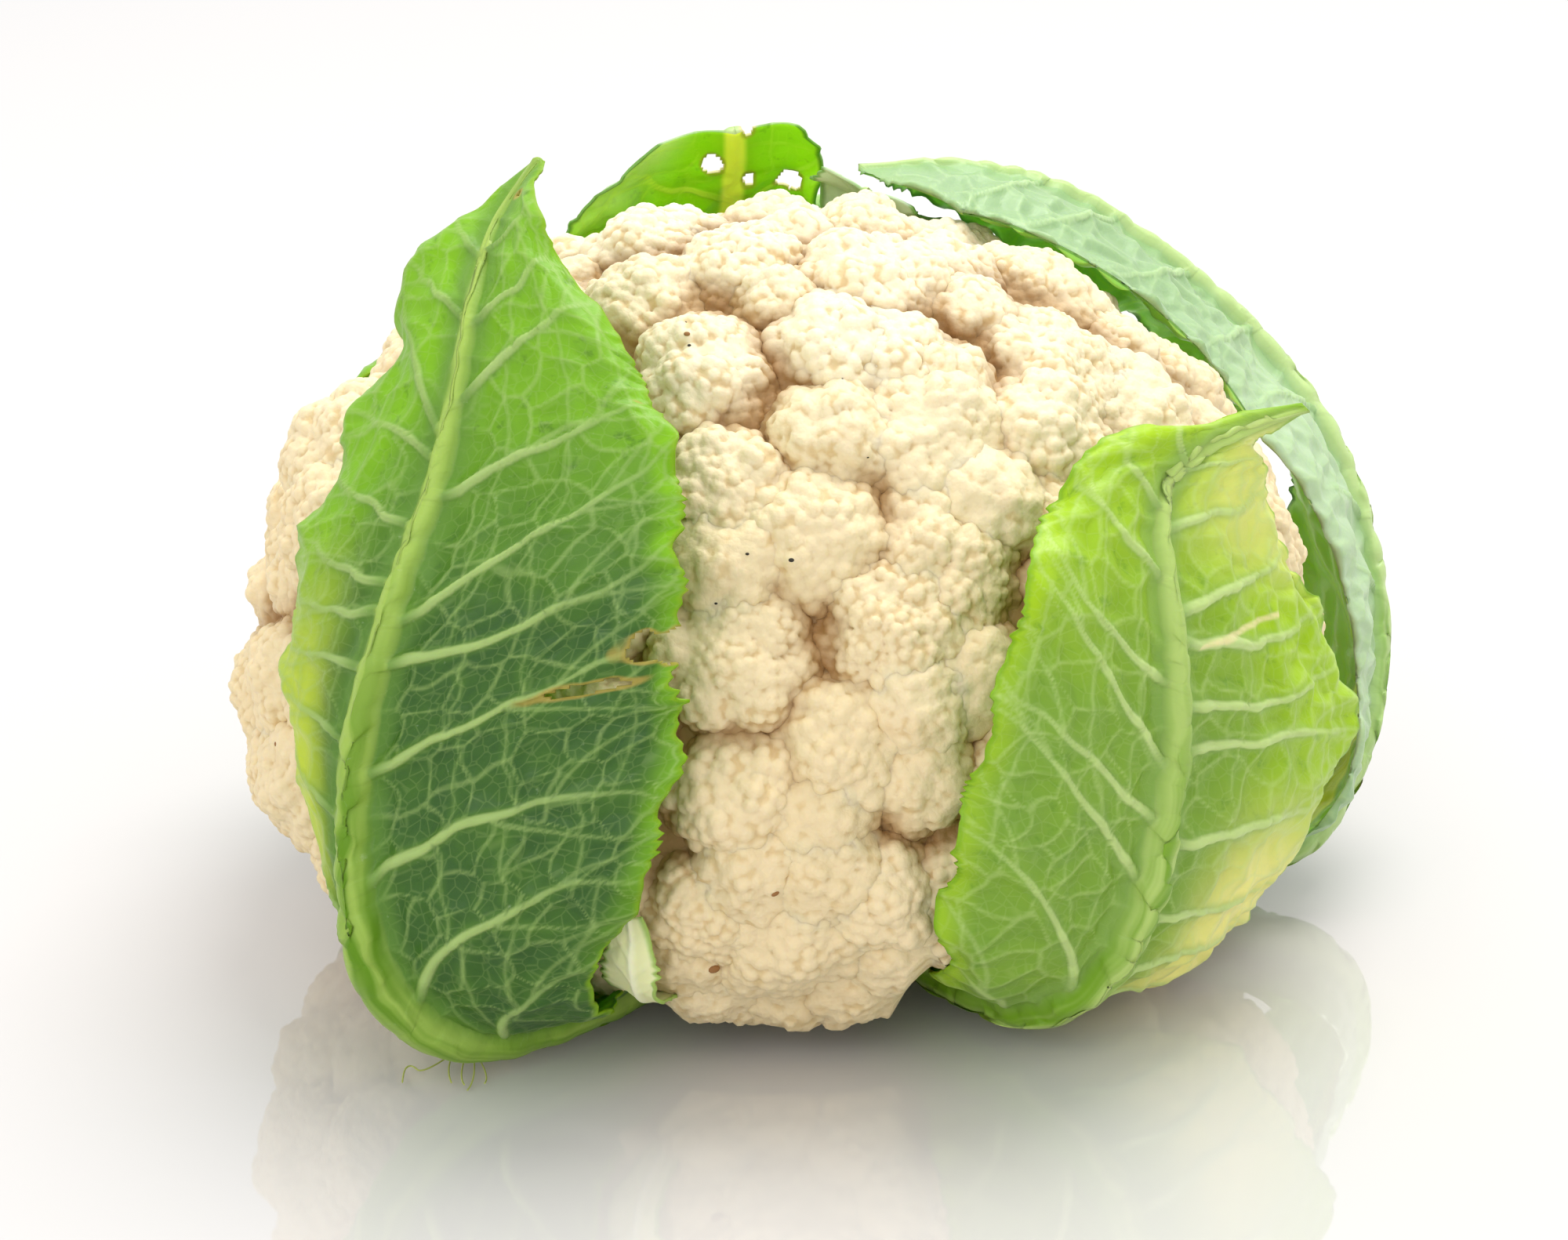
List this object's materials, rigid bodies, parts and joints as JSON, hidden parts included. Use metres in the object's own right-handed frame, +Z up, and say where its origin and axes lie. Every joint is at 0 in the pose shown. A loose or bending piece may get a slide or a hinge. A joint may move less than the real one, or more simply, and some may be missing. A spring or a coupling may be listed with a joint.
{
  "type": "cauliflower",
  "caption": "Whole head of cauliflower with a knobbly cream curd on a short cut stem, wrapped by veined green outer leaves that curve up round it.",
  "frame": {"origin": "middle of the stem's cut face, on the surface that the head stands on", "axes": "+Z up, -Y towards the front of the head, +X to the right seen from the front"},
  "size_m": [0.1862, 0.1682, 0.1306],
  "materials": {
    "curd": "matte, finely granular, slightly translucent",
    "stem": "satin",
    "leaf_front_left": "waxy satin with raised pale veins",
    "leaf_front_right": "waxy satin with raised pale veins",
    "leaf_back_right": "waxy sheen with raised pale veins",
    "leaf_back": "waxy satin with raised pale veins",
    "leaf_back_middle": "waxy sheen with raised pale veins",
    "leaf_back_left": "waxy satin with raised pale veins",
    "leaf_inner_front": "satin, pale and thin"
  },
  "bodies": {
    "root": {"curd": "curd", "stem": "stem", "leaf_front_left": "leaf_front_left", "leaf_front_right": "leaf_front_right", "leaf_back_right": "leaf_back_right", "leaf_back": "leaf_back", "leaf_back_middle": "leaf_back_middle", "leaf_back_left": "leaf_back_left", "leaf_inner_front": "leaf_inner_front"}
  },
  "joints": []
}
